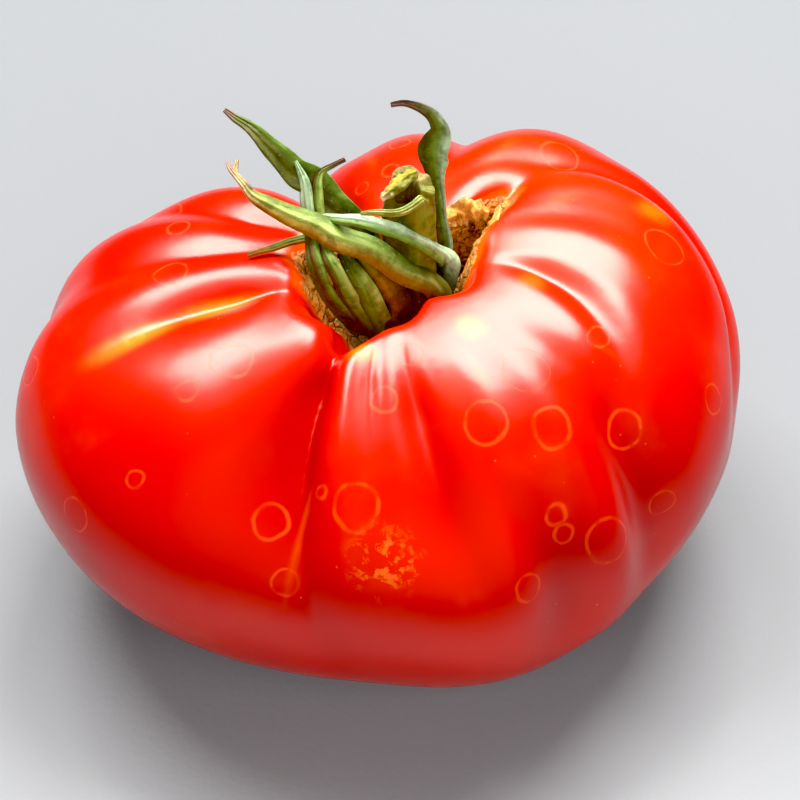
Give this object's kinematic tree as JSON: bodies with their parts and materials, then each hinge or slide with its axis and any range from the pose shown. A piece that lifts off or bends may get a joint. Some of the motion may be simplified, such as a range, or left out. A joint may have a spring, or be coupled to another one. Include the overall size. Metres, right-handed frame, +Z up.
{
  "type": "tomato",
  "caption": "Ripe ribbed beefsteak tomato, whole, with its curled green calyx and a short broken stalk, resting on its blossom end.",
  "frame": {"origin": "middle of the overall footprint box, on the plane the fruit rests on", "axes": "+Z up from the blossom end to the stem end, +X along the widest way across, -Y towards the deep front groove"},
  "size_m": [0.1196, 0.0985, 0.0849],
  "materials": {
    "skin": "smooth waxy skin, clear soft highlights",
    "green": "matt, slightly hairy leaf"
  },
  "bodies": {
    "root": {"fruit": "skin", "calyx": "green"}
  },
  "joints": []
}
